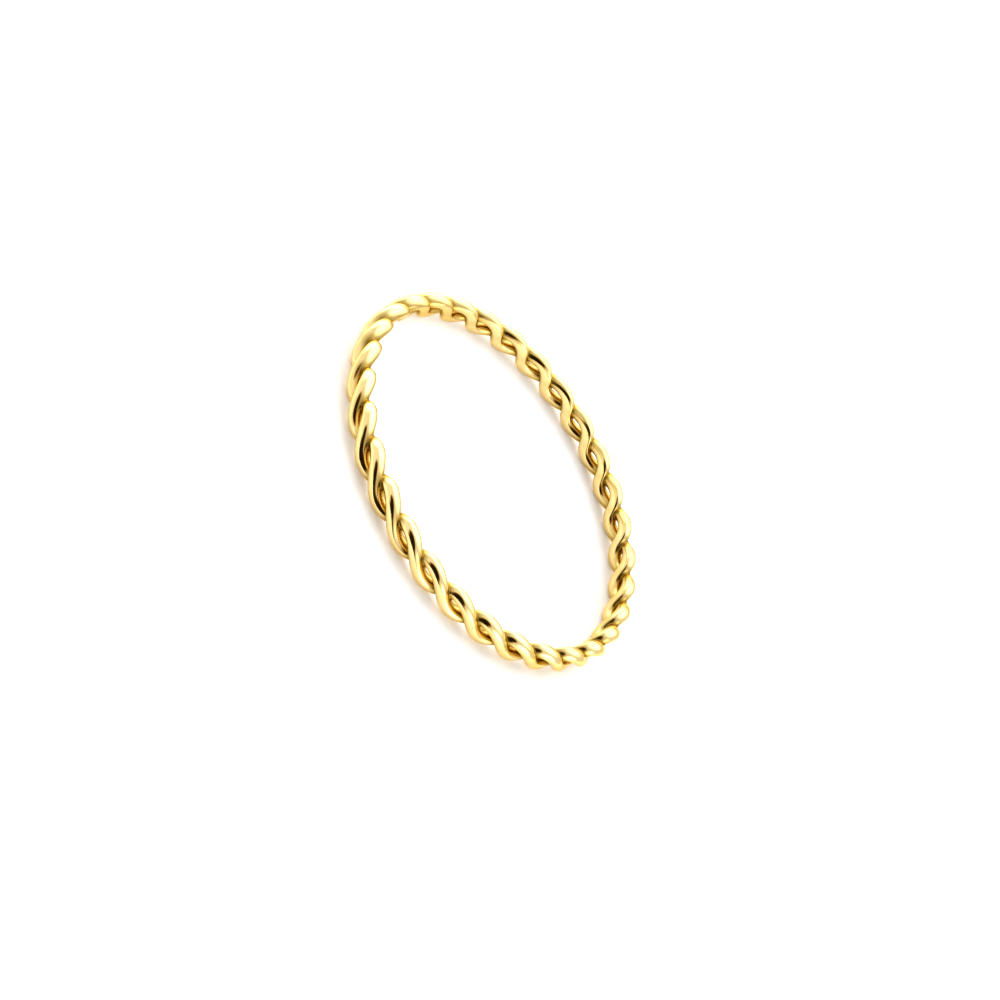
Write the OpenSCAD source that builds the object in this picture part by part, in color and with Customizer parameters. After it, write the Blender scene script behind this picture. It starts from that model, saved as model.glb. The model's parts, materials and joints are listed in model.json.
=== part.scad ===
// Rope twist ring: two gold wires wound round each other in an open twist with small see-through windows,
// bent to a closed band and soldered into one piece where they cross.
// The ring lies on its side. Z is the finger's axis and the band's lowest line is at z = 0.

/* [Finger hole] */
// Diameter of the finger hole, measured on the ground inner face
finger_hole_d = 17; // [14:0.25:22]
// Depth by which the wires, before they are pressed and ground, reach into the finger hole
inner_reach = 0.21; // [0.19:0.01:0.3]
// Height above the finger hole's face at which the inside of the band begins to flatten
press_start = 0.16; // [0.12:0.01:0.17]
// Softness of the flattening on the inside, which sets the width of the lands that touch the finger
press_softness = 0.21; // [0.2:0.01:0.3]

/* [Wires] */
// Thickness of each wire along the finger's axis
wire_thickness = 0.61; // [0.56:0.01:0.7]
// Depth of each wire from the inside of the band to the outside
wire_depth = 0.8; // [0.74:0.01:0.9]

/* [Twist] */
// Half turns of the twist round the whole band, an even number so that each wire meets its own end
half_turns = 30; // [24:2:32]
// Turn of the wires about the rope's own line at the band's right-hand side, in degrees
twist_start = 133; // [0:1:359]
// Swing of each wire to either side of the rope's line, along the finger's axis
height_swing = 0.405; // [0.38:0.005:0.45]
// Swing of each wire to either side of the rope's line, from the inside to the outside
depth_swing = 0.195; // [0.16:0.005:0.22]
// Lean of the wires, which makes them cross the inner face steeply and the outer face gently
lean = 0.26; // [0:0.01:0.3]
// Lengthening of the wires' runs along the top and the bottom, for still steeper crossings
long_runs = 0.08; // [0:0.01:0.1]

/* [Polish] */
// Depth below the rope's outermost line at which the polish begins to flatten the wires
polish_reach = 0.13; // [0.1:0.01:0.18]
// Softness of the flattening by the polish, small for a flat outside and large for a round one
polish_softness = 0.2; // [0.15:0.01:0.4]

/* [Hidden] */

// Sections to each full turn and points round each wire, which set the number of facets
sections_per_turn = 12;
points_per_wire = 12;

// Radius of the rope's line round the finger's axis, and height of the band's middle
hole_r = finger_hole_d / 2;
rope_line_r = hole_r + depth_swing + wire_depth / 2 - inner_reach;
mid_z = height_swing + wire_thickness / 2;

// Length of rope for one radian of twist, and the squeeze that makes the oval wire round
turns = half_turns / 2;
twist_advance = rope_line_r / turns;
squeeze = wire_thickness / wire_depth;

// A wire's line where it has turned by t: along the rope, out from the rope's line and up, with the
// depth squeezed so that the wire is round
function wire_line(t) = [
    twist_advance * (t * PI / 180 + lean * sin(t) - long_runs * sin(2 * t)),
    squeeze * depth_swing * cos(t),
    -height_swing * sin(t)
];
function wire_heading(t) =
    let (
        ahead = twist_advance * (1 + lean * cos(t) - 2 * long_runs * cos(2 * t)),
        heading = [ahead, -squeeze * depth_swing * sin(t), -height_swing * cos(t)]
    )
    heading / norm(heading);

// A point on the round wire, at angle a in the section square to the wire
function wire_point(t, a) =
    let (
        heading = wire_heading(t),
        level = cross(heading, [0, 1, 0]),
        up = level / norm(level),
        out = cross(up, heading)
    )
    wire_line(t) + wire_thickness / 2 * (cos(a) * out + sin(a) * up);

// Distance from the finger's axis after the inside is pressed towards the finger hole's face and the
// outside polished, each a soft flattening
press_start_r = hole_r + press_start;
polish_start_r = rope_line_r + depth_swing + wire_depth / 2 - polish_reach;
function softened(depth, softness) = softness * (1 - exp(-depth / softness));
function finished_r(r) =
    r < press_start_r ? press_start_r - softened(press_start_r - r, press_softness)
    : r > polish_start_r ? polish_start_r + softened(r - polish_start_r, polish_softness)
    : r;

// The same point bent round the finger's axis
function band_point(p, wire_turn) =
    let (
        angle = p.x / rope_line_r * 180 / PI - (twist_start + wire_turn) / turns,
        r = finished_r(rope_line_r + p.y / squeeze)
    )
    [r * cos(angle), r * sin(angle), mid_z + p.z];

// One wire as a closed skin of sections all the way round
module wire(wire_turn) {
    section_count = turns * sections_per_turn;
    n = points_per_wire;
    points = [
        for (j = [0:section_count - 1], i = [0:n - 1])
            band_point(wire_point(360 * j / sections_per_turn, 360 * i / n), wire_turn)
    ];
    faces = [
        for (j = [0:section_count - 1], i = [0:n - 1])
            let (here = j * n, next = (j + 1) % section_count * n, k = (i + 1) % n)
            each [[here + i, here + k, next + k], [here + i, next + k, next + i]]
    ];
    polyhedron(points, faces);
}

// The finger hole, ground true through the inside of the band
module ground_hole() {
    translate([0, 0, -mid_z]) cylinder(r = hole_r, h = 4 * mid_z, $fn = 180);
}

module twist_band() {
    color("gold") difference() {
        union() {
            wire(0);
            wire(180);
        }
        ground_hole();
    }
}

twist_band();
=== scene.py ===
"""Rope twist ring: two gold wires in an open twist, soldered into one band and lying on a pale floor."""
import itertools
import json
import math

import bpy
import numpy as np
from mathutils import Matrix, Vector


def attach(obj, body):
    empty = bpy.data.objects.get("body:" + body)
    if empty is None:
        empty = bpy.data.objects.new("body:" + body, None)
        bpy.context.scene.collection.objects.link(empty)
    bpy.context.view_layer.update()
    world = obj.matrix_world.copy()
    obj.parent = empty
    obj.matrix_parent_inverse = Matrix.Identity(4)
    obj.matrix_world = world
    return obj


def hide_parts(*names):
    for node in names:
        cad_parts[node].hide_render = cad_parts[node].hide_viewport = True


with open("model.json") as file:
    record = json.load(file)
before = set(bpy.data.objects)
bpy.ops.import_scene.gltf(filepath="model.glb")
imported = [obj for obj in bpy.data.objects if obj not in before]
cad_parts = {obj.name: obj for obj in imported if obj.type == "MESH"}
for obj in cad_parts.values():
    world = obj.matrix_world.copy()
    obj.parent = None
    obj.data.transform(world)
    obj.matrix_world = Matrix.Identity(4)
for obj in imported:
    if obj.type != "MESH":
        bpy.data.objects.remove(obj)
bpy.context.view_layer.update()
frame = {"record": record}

MM = 0.001

# Sizes of the band in millimetres and radians, as in the solid that it stands for
HOLE_R = frame["record"]["mounts"][0]["dims"]["r_mm"]
TURNS = 15
TWIST_START = math.radians(133)
WIRE_THICKNESS = 0.61
WIRE_DEPTH = 0.80
HEIGHT_SWING = 0.405
DEPTH_SWING = 0.195
INNER_REACH = 0.21
LEAN = 0.26
LONG_RUNS = 0.08
PRESS_START = 0.16
PRESS_SOFTNESS = 0.21
POLISH_REACH = 0.13
POLISH_SOFTNESS = 0.20

# The rope's own line round the finger's axis and its height, the rope's length for a radian of twist, and the
# squeeze of the band's depth that makes the oval wires round
ROPE_LINE_R = HOLE_R + DEPTH_SWING + WIRE_DEPTH / 2 - INNER_REACH
OUTER_R = ROPE_LINE_R + DEPTH_SWING + WIRE_DEPTH / 2
MID_Z = HEIGHT_SWING + WIRE_THICKNESS / 2
ADVANCE = ROPE_LINE_R / TURNS
SQUEEZE = WIRE_THICKNESS / WIRE_DEPTH

# Solder that rounds the crease between the wires, the broken edge of the ground lands, and how far the skin
# keeps inside the solid's own outline
SOLDER = 0.05
LAND_EDGE = 0.02
INSET = 0.008

# Millimetres that each wire's skin rises and falls along the band, as handwork does
UNEVEN = 0.002

# Steps towards a wire's nearest turn and the share of the way that each takes, and rounds that even the mesh
TURN_STEPS = 14
TURN_SHARE = 0.85
EVENING_ROUNDS = 4

# Cells of the ring-shaped grid that the skin is laid through, round the band, outwards and up, and its limits
CELLS = (930, 22, 29)
GRID_LOW = (0.0, HOLE_R - 0.13, -0.13)
GRID_HIGH = (2 * math.pi, OUTER_R + 0.15, 2 * MID_Z + 0.13)


def before_finishing(radius):
    """The radius that a point had before the band was pressed on the inside and polished on the outside."""
    pressed = np.clip((HOLE_R + PRESS_START - radius) / PRESS_SOFTNESS, 0, 0.999)
    polished = np.clip((radius - OUTER_R + POLISH_REACH) / POLISH_SOFTNESS, 0, 0.999)
    middle = np.clip(radius, HOLE_R + PRESS_START, OUTER_R - POLISH_REACH)
    return middle + PRESS_SOFTNESS * np.log(1 - pressed) - POLISH_SOFTNESS * np.log(1 - polished)


def from_wire(twist, out, up, cos, sin, turn):
    """The way from a wire's line at a turn to points beside it, in the space where the wire is round."""
    ahead = ADVANCE * (twist - turn - LEAN * sin + 2 * LONG_RUNS * sin * cos)
    return ahead, SQUEEZE * (out - DEPTH_SWING * cos), up + HEIGHT_SWING * sin


def nearest_turn(twist, out, up):
    """How far a wire has turned where it passes nearest to points, given by the rope's twist there, their
    distance out from the rope's line and their height above it."""
    turn = twist
    for _ in range(TURN_STEPS):
        cos, sin = np.cos(turn), np.sin(turn)
        ahead, beside, above = from_wire(twist, out, up, cos, sin, turn)
        run = ADVANCE * (1 + LEAN * cos - 2 * LONG_RUNS * (2 * cos ** 2 - 1))
        drift = -SQUEEZE * DEPTH_SWING * sin
        climb = -HEIGHT_SWING * cos
        pull = ahead * run + beside * drift + above * climb
        turn = turn + TURN_SHARE * pull / (run ** 2 + drift ** 2 + climb ** 2)
    return turn


def rope_place(angle, radius, z):
    """The twist of each wire at points, and their distance out from the rope's line and up from it."""
    twists = [TURNS * angle + TWIST_START + wire * math.pi for wire in range(2)]
    return twists, before_finishing(radius) - ROPE_LINE_R, z - MID_Z


def wire_gaps(angle, radius, z, turns):
    """Distance from points to the skin of each wire, a little uneven as handwork is."""
    twists, out, up = rope_place(angle, radius, z)
    uneven = UNEVEN * np.sin(23 * angle + 1.3) + UNEVEN * np.sin(38 * angle + 4 * up)
    gaps = []
    for twist, turn in zip(twists, turns):
        ahead, beside, above = from_wire(twist, out, up, np.cos(turn), np.sin(turn), turn)
        gap = np.sqrt(ahead ** 2 + beside ** 2 + above ** 2 + 1e-9)
        gaps.append(gap - WIRE_THICKNESS / 2 + INSET + uneven)
    return gaps


def blended(first, second, softness):
    """The lower of two values, with a soft change from one to the other."""
    share = np.clip(0.5 + (second - first) / (2 * softness), 0, 1)
    return second + (first - second) * share - softness * share * (1 - share)


def depth(angle, radius, z, turns):
    """Below zero inside the metal, zero on its skin and above zero outside."""
    metal = blended(*wire_gaps(angle, radius, z, turns), SOLDER)
    return -blended(-metal, radius - HOLE_R, LAND_EDGE)


def wire_turns(angle, radius, z):
    """The nearest turn of each wire to points."""
    twists, out, up = rope_place(angle, radius, z)
    return [nearest_turn(twist, out, up) for twist in twists]


def grid_values():
    """The depth at every corner of the grid. The last corners round the band are the first again."""
    sides = [np.linspace(low, high, count + 1) for low, high, count in zip(GRID_LOW, GRID_HIGH, CELLS)]
    places = np.meshgrid(sides[0][:-1], *sides[1:], indexing="ij")
    return depth(*places, wire_turns(*places))


def net_points(values):
    """A point in each cell that the skin passes through, as cell counts, and the number of each such cell."""
    closed = np.concatenate([values, values[:1]])
    corners = list(itertools.product((0, 1), repeat=3))
    at = {}
    for corner in corners:
        at[corner] = closed[tuple(slice(start, start + count) for start, count in zip(corner, CELLS))]
    below = np.stack([part < 0 for part in at.values()])
    crossed = below.any(axis=0) & ~below.all(axis=0)
    number = np.full(crossed.shape, -1)
    number[crossed] = np.arange(crossed.sum())
    total, hits = np.zeros((crossed.sum(), 3)), np.zeros((crossed.sum(), 1))
    for corner, axis in itertools.product(corners, range(3)):
        if corner[axis] == 0:
            far = tuple(1 if side == axis else part for side, part in enumerate(corner))
            start, end = at[corner][crossed], at[far][crossed]
            hit = (start < 0) != (end < 0)
            spot = np.tile(np.array(corner, dtype=float), (hit.sum(), 1))
            spot[:, axis] = start[hit] / (start[hit] - end[hit])
            total[hit] += spot
            hits[hit] += 1
    return np.argwhere(crossed) + total / hits, number


def net_faces(values, number):
    """A four-sided face over each edge of the grid that the skin crosses, facing out of the metal."""
    inside = values < 0
    faces = []
    for axis in range(3):
        edge = np.argwhere(inside != np.roll(inside, -1, axis=axis))
        ring = []
        for first, second in ((-1, -1), (0, -1), (0, 0), (-1, 0)):
            cell = edge.copy()
            cell[:, (axis + 1) % 3] += first
            cell[:, (axis + 2) % 3] += second
            cell[:, 0] %= CELLS[0]
            ring.append(number[tuple(cell.T)])
        face = np.stack(ring, axis=1)
        faces.append(np.where(inside[tuple(edge.T)][:, None], face[:, ::-1], face))
    return np.concatenate(faces)


def polar(points):
    """Bearing, radius and height of points."""
    return np.arctan2(points[:, 1], points[:, 0]), np.hypot(points[:, 0], points[:, 1]), points[:, 2]


def skin_slope(points):
    """The depth at points near the skin, and its slope in space."""
    angle, radius, z = polar(points)
    turns = wire_turns(angle, radius, z)
    step = 0.001
    around = depth(angle + step / radius, radius, z, turns) - depth(angle - step / radius, radius, z, turns)
    out = depth(angle, radius + step, z, turns) - depth(angle, radius - step, z, turns)
    up = depth(angle, radius, z + step, turns) - depth(angle, radius, z - step, turns)
    cos, sin = np.cos(angle), np.sin(angle)
    slope = np.stack([out * cos - around * sin, out * sin + around * cos, up], axis=1) / (2 * step)
    return depth(angle, radius, z, turns), slope


def settled(points):
    """Points moved along the slope on to the skin."""
    value, slope = skin_slope(points)
    return points - (value / np.maximum((slope ** 2).sum(axis=1), 1e-6))[:, None] * slope


def evened(points, faces):
    """Points spread evenly over the skin, each moved along it towards the middle of its neighbours."""
    edges = np.concatenate([faces[:, [side, (side + 1) % 4]] for side in range(4)])
    edges = np.unique(np.sort(edges, axis=1), axis=0)
    start, end = edges.T
    neighbours = np.bincount(edges.ravel(), minlength=len(points))[:, None]
    for _ in range(EVENING_ROUNDS):
        total = [
            np.bincount(start, points[end, axis], len(points))
            + np.bincount(end, points[start, axis], len(points))
            for axis in range(3)
        ]
        move = np.stack(total, axis=1) / neighbours - points
        normal = skin_slope(points)[1]
        normal /= np.linalg.norm(normal, axis=1, keepdims=True)
        points = settled(points + 0.5 * (move - (move * normal).sum(axis=1, keepdims=True) * normal))
    return points


# Millimetres from the farther wire over which the painted shade of the crease and of the hollow fades, the
# height over the lands where the painted shade of a recess begins and that over which it deepens, the fade of
# the lands' edge, and the depth of the worn crown under the outermost line, with its fade
CREASE_REACH = 0.14
HOLLOW_REACH = 0.3
RECESS_START = 0.04
RECESS_FADE = 0.12
LAND_FADE = 0.008
CROWN_DEPTH = 0.3
CROWN_FADE = 0.25

# Millimetres that keep the second wire's lines clear of the first's
WIRES_APART = 40


def finish_and_shade_marks(points, normals):
    """Marks from 0 to 1 of the band's finishes and of where shade is painted, and coordinates that follow
    each wire.
    """
    angle, radius, z = polar(points)
    facing_in = -(points[:, :2] * normals[:, :2]).sum(axis=1) / radius
    turns = wire_turns(angle, radius, z)
    twists, out, up = rope_place(angle, radius, z)
    first_gap, second_gap = wire_gaps(angle, radius, z, turns)
    farther = np.maximum(first_gap, second_gap)
    lift = np.clip((radius - HOLE_R - RECESS_START) / RECESS_FADE, 0, 1)
    marks = {
        # Where shade is painted: the crease between the wires, the hollows of the windows and the recesses of
        # the inner face
        "crease": np.clip(1 - farther / CREASE_REACH, 0, 1),
        "hollow": np.clip(1.2 - farther / HOLLOW_REACH, 0, 1),
        "recess": lift * np.clip(1.6 * facing_in, 0, 1),
        "land": np.clip(1.5 - (radius - HOLE_R) / LAND_FADE, 0, 1),
        "crown": np.clip((radius - OUTER_R + CROWN_DEPTH) / CROWN_FADE, 0, 1),
    }
    ways = [from_wire(twist, out, up, np.cos(turn), np.sin(turn), turn) for twist, turn in zip(twists, turns)]
    on_first = first_gap < second_gap
    beside, above = np.where(on_first, ways[0][1:], ways[1][1:])
    along = points[:, 0] + 0.7 * points[:, 1] + np.where(on_first, 0, WIRES_APART)
    return marks, np.stack([along, beside, above], axis=1)


def twisted_band():
    """The ring's visible skin, one closed mesh."""
    values = grid_values()
    cells, number = net_points(values)
    faces = net_faces(values, number)
    low, high = np.array(GRID_LOW), np.array(GRID_HIGH)
    angle, radius, z = (low + cells * (high - low) / CELLS).T
    points = np.stack([radius * np.cos(angle), radius * np.sin(angle), z], axis=1)
    points = settled(settled(points))
    points = settled(evened(points, faces))
    normals = skin_slope(points)[1]
    normals /= np.linalg.norm(normals, axis=1, keepdims=True)
    marks, follow = finish_and_shade_marks(points, normals)
    mesh = bpy.data.meshes.new("twisted_band")
    mesh.from_pydata((points * MM).tolist(), [], faces.tolist())
    mesh.shade_smooth()
    mesh.normals_split_custom_set_from_vertices(normals.tolist())
    for name, mark in marks.items():
        mesh.attributes.new(name, "FLOAT", "POINT").data.foreach_set("value", mark.astype("f"))
    layer = mesh.attributes.new("follow_wire", "FLOAT_VECTOR", "POINT")
    layer.data.foreach_set("vector", (follow * MM).astype("f").ravel())
    band = bpy.data.objects.new("twisted_band", mesh)
    bpy.context.scene.collection.objects.link(band)
    return band


class Value:
    """An output of a node tree. Python's operators on it add Math nodes."""

    def __init__(self, craft, socket):
        self.craft = craft
        self.socket = socket

    def math(self, operation, *values):
        """A Math node on numbers and other values."""
        return self.craft.add("ShaderNodeMath", {"operation": operation}, dict(enumerate(values)))

    def __add__(self, other):
        return self.math("ADD", self, other)

    def __sub__(self, other):
        return self.math("SUBTRACT", self, other)

    def __rsub__(self, other):
        return self.math("SUBTRACT", other, self)

    def __mul__(self, other):
        return self.math("MULTIPLY", self, other)

    __radd__ = __add__
    __rmul__ = __mul__

    def rise(self, low, high):
        """0 below low, 1 above high, and a soft step between."""
        sockets = {"Value": self, "From Min": low, "From Max": high}
        return self.craft.add("ShaderNodeMapRange", {"interpolation_type": "SMOOTHSTEP"}, sockets)

    def scaled(self, *factors):
        """A vector with each of its parts multiplied."""
        return self.craft.add("ShaderNodeVectorMath", {"operation": "MULTIPLY"}, {0: self, 1: factors})

    def noise(self, scale, detail=2.0):
        """Cloudy values about 0.5 at the place that this vector gives."""
        sockets = {"Vector": self, "Scale": scale, "Detail": detail}
        return self.craft.add("ShaderNodeTexNoise", {}, sockets)


class Craft:
    """One node tree, and the one way to add a node to it."""

    def __init__(self, tree):
        self.tree = tree
        tree.nodes.clear()

    def add(self, kind, settings, sockets, output=0):
        """A node of this kind, its settings set first, then its sockets by name or number."""
        node = self.tree.nodes.new(kind)
        for name, setting in settings.items():
            setattr(node, name, setting)
        for name, value in sockets.items():
            if isinstance(value, Value):
                self.tree.links.new(value.socket, node.inputs[name])
            else:
                node.inputs[name].default_value = value
        return Value(self, node.outputs[output]) if node.outputs else node

    def mix(self, factor, first, second):
        """A colour between two, with the factor from 0 to 1."""
        return self.add("ShaderNodeMix", {"data_type": "RGBA"}, {0: factor, 6: first, 7: second}, output=2)

    def mark(self, name):
        """A mark from 0 to 1 that the band's mesh carries, for its finishes and its painted shade."""
        return self.add("ShaderNodeAttribute", {"attribute_name": name}, {}, output="Fac")


# The gold's own two tones, the olive and the brown of the painted shade in recesses, hollows and creases, and
# the tint at the metal's grazing edge
GOLD = (0.93, 0.68, 0.27, 1)
PALE_GOLD = (0.95, 0.72, 0.32, 1)
PAINTED_SHADE_OLIVE = (0.49, 0.325, 0.06, 1)
PAINTED_SHADE_BROWN = (0.25, 0.14, 0.015, 1)
RIM_GOLD = (0.95, 0.81, 0.48, 1)

# Heights of the skin's waves, of the lines along the wires and of those on the lands, and the scuffs' depth
WAVE_HEIGHT = 0.004 * MM
LINE_HEIGHT = 0.0002 * MM
GROUND_HEIGHT = 0.0004 * MM
SCUFF_DEPTH = 0.0002 * MM


def polished_gold():
    """Yellow gold: bright wires with fine lines along them, ground lands, and duller hollows and creases,
    with painted shade there and in the recesses.
    """
    material = bpy.data.materials.new("polished_gold")
    material.use_nodes = True
    craft = Craft(material.node_tree)
    place = craft.add("ShaderNodeTexCoord", {}, {}, output="Object")
    follow = craft.add("ShaderNodeAttribute", {"attribute_name": "follow_wire"}, {}, output="Vector")
    crease, hollow, recess = craft.mark("crease"), craft.mark("hollow"), craft.mark("recess")
    land, crown = craft.mark("land"), craft.mark("crown")

    cloud = place.noise(700.0, 3.0)
    wire_lines = follow.scaled(500.0, 24000.0, 24000.0).noise(1.0, 2.0)
    ground_lines = place.scaled(500.0, 500.0, 42000.0).noise(1.0, 2.0)
    scuffs = place.noise(9000.0, 4.0).rise(0.60, 0.78)
    lines = wire_lines * (1 - land) + ground_lines * land

    colour = craft.mix(cloud.rise(0.35, 0.65), GOLD, PALE_GOLD)
    # Painted shade: the inner faces that recede from the lands, and the walls of the windows between the
    # wires, are darkened to olive.
    colour = craft.mix(recess * 0.65, colour, PAINTED_SHADE_OLIVE)
    colour = craft.mix(hollow.rise(0.1, 0.9) * 0.85, colour, PAINTED_SHADE_OLIVE)
    # Painted shade: the crease where the two wires meet is darkened to brown.
    colour = craft.mix(crease.rise(0.1, 0.9) * 0.9, colour, PAINTED_SHADE_BROWN)
    roughness = 0.06 + 0.05 * lines + 0.07 * land + 0.1 * hollow + 0.1 * crease + 0.06 * recess
    roughness = roughness + 0.04 * scuffs * (crown + land)

    waves = place.noise(1300.0, 1.0) * WAVE_HEIGHT
    fine = lines * LINE_HEIGHT + ground_lines * land * GROUND_HEIGHT - scuffs * SCUFF_DEPTH
    bump = craft.add("ShaderNodeBump", {}, {"Strength": 1.0, "Distance": 1.0, "Height": waves + fine})

    sockets = {"Base Color": colour, "Metallic": 1.0, "Specular Tint": RIM_GOLD}
    sockets = sockets | {"Roughness": roughness, "Normal": bump}
    metal = craft.add("ShaderNodeBsdfPrincipled", {}, sockets)
    craft.add("ShaderNodeOutputMaterial", {}, {"Surface": metal})
    return material


WHITE = (1, 1, 1, 1)

# The floor, a photographer's light table: half its width in metres, its two whites and the light it gives off
FLOOR_HALF = 0.6
FLOOR_WHITE = (0.93, 0.93, 0.925, 1)
FLOOR_BRIGHT = (0.95, 0.95, 0.945, 1)
FLOOR_LIGHT = 0.18


def pale_floor():
    """A white light table, much wider than the view."""
    half = FLOOR_HALF
    corners = [(-half, -half, 0), (half, -half, 0), (half, half, 0), (-half, half, 0)]
    mesh = bpy.data.meshes.new("floor")
    mesh.from_pydata(corners, [], [(0, 1, 2, 3)])
    board = bpy.data.objects.new("floor", mesh)
    bpy.context.scene.collection.objects.link(board)
    material = bpy.data.materials.new("white_board")
    material.use_nodes = True
    craft = Craft(material.node_tree)
    place = craft.add("ShaderNodeTexCoord", {}, {}, output="Object")
    colour = craft.mix(place.noise(30.0, 3.0), FLOOR_WHITE, FLOOR_BRIGHT)
    sockets = {"Base Color": colour, "Roughness": 0.6}
    sockets = sockets | {"Emission Color": WHITE, "Emission Strength": FLOOR_LIGHT}
    board_skin = craft.add("ShaderNodeBsdfPrincipled", {}, sockets)
    craft.add("ShaderNodeOutputMaterial", {}, {"Surface": board_skin})
    mesh.materials.append(material)


def direction(azimuth, elevation):
    """Unit vector towards a bearing and a height, both in degrees."""
    bearing, height = math.radians(azimuth), math.radians(elevation)
    level = math.cos(height)
    return Vector((level * math.cos(bearing), level * math.sin(bearing), math.sin(height)))


def glow(towards, azimuth, elevation, full, faded):
    """A round soft patch of the tent about a direction: 1 within full degrees of it, 0 past faded degrees."""
    sockets = {0: towards, 1: tuple(direction(azimuth, elevation))}
    cosine = towards.craft.add("ShaderNodeVectorMath", {"operation": "DOT_PRODUCT"}, sockets, output="Value")
    return cosine.rise(math.cos(math.radians(faded)), math.cos(math.radians(full)))


# The tent's even light, its bright sides as strength and patch, and the patches of its dark opening with the
# warm colour in there. A patch is its bearing and height, and where it is full and has faded, in degrees.
TENT_LIGHT = 0.9
TENT_SIDES = (
    (2.3, (140, 14, 16, 42)),
    (2.1, (-8, 20, 12, 32)),
    (1.9, (90, 52, 15, 42)),
    (0.2, (-155, 30, 15, 50)),
)
LOWER_OPENING = (-84, 12, 21, 34)
UPPER_OPENING = (-87, 47, 20, 33)
OPENING_DARK = 0.98
OPENING_WARMTH = (1, 0.52, 0.05, 1)


def white_tent():
    """White light from all round: a tent with soft bright sides and a dark opening towards the camera. Seen
    past the floor, the tent itself is plain white."""
    world = bpy.data.worlds.new("white_tent")
    world.use_nodes = True
    bpy.context.scene.world = world
    craft = Craft(world.node_tree)
    towards = craft.add("ShaderNodeTexCoord", {}, {}, output="Generated")
    brightness = TENT_LIGHT
    for strength, patch in TENT_SIDES:
        brightness = brightness + strength * glow(towards, *patch)
    opening = 1 - (1 - glow(towards, *LOWER_OPENING)) * (1 - glow(towards, *UPPER_OPENING))
    brightness = brightness * (1 - OPENING_DARK * opening)
    tint = craft.mix(opening.rise(0.0, 0.75), WHITE, OPENING_WARMTH)
    seen = craft.add("ShaderNodeLightPath", {}, {}, output="Is Camera Ray")
    brightness = brightness * (1 - seen) + seen
    tint = craft.mix(seen, tint, WHITE)
    light = craft.add("ShaderNodeBackground", {}, {"Color": tint, "Strength": brightness})
    craft.add("ShaderNodeOutputWorld", {}, {"Surface": light})


# The camera as found from the photo's outlines and windows: its bearing, its height over the ring's plane and
# its roll in degrees, its distance, of which VIEW_UNIT millimetres are the share VIEW_SHARE, and where the
# band's centre falls in the picture of PICTURE pixels across, in which VIEW_UNIT spans UNIT_PX pixels
VIEW_UNIT = 8.863
VIEW_SHARE = 0.0876
CAMERA_AZIMUTH = -89.6
CAMERA_ELEVATION = 32.1
CAMERA_ROLL = 61.0
CAMERA_DISTANCE = VIEW_UNIT / VIEW_SHARE * MM
UNIT_PX = 192.9
PICTURE = 1000
RING_CENTRE_PX = (498.7, 478.1)


def photo_camera():
    """The camera at the photo's angle, rolled as the photo is, and above the floor."""
    view = bpy.data.cameras.new("photo_camera")
    pixel = VIEW_UNIT * MM / UNIT_PX
    view.lens = CAMERA_DISTANCE / pixel / PICTURE * view.sensor_width
    view.clip_start = 0.002
    view.clip_end = 10
    back = direction(CAMERA_AZIMUTH, CAMERA_ELEVATION)
    level = Vector((0, 0, 1)).cross(back).normalized()
    upright = back.cross(level)
    roll = math.radians(CAMERA_ROLL)
    right = level * math.cos(roll) + upright * math.sin(roll)
    up = upright * math.cos(roll) - level * math.sin(roll)
    across = (PICTURE / 2 - RING_CENTRE_PX[0]) * pixel
    down = (PICTURE / 2 - RING_CENTRE_PX[1]) * pixel
    centre = Vector((0, 0, MID_Z * MM))
    camera = bpy.data.objects.new("photo_camera", view)
    turned = Matrix((right, up, back)).transposed().to_4x4()
    place = centre + back * CAMERA_DISTANCE + right * across - up * down
    camera.matrix_world = Matrix.Translation(place) @ turned
    bpy.context.scene.collection.objects.link(camera)
    bpy.context.scene.camera = camera


band = twisted_band()
band.data.materials.append(polished_gold())
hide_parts("twist_band")
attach(band, "root")

pale_floor()
white_tent()
photo_camera()
bpy.context.scene.view_settings.view_transform = "Standard"
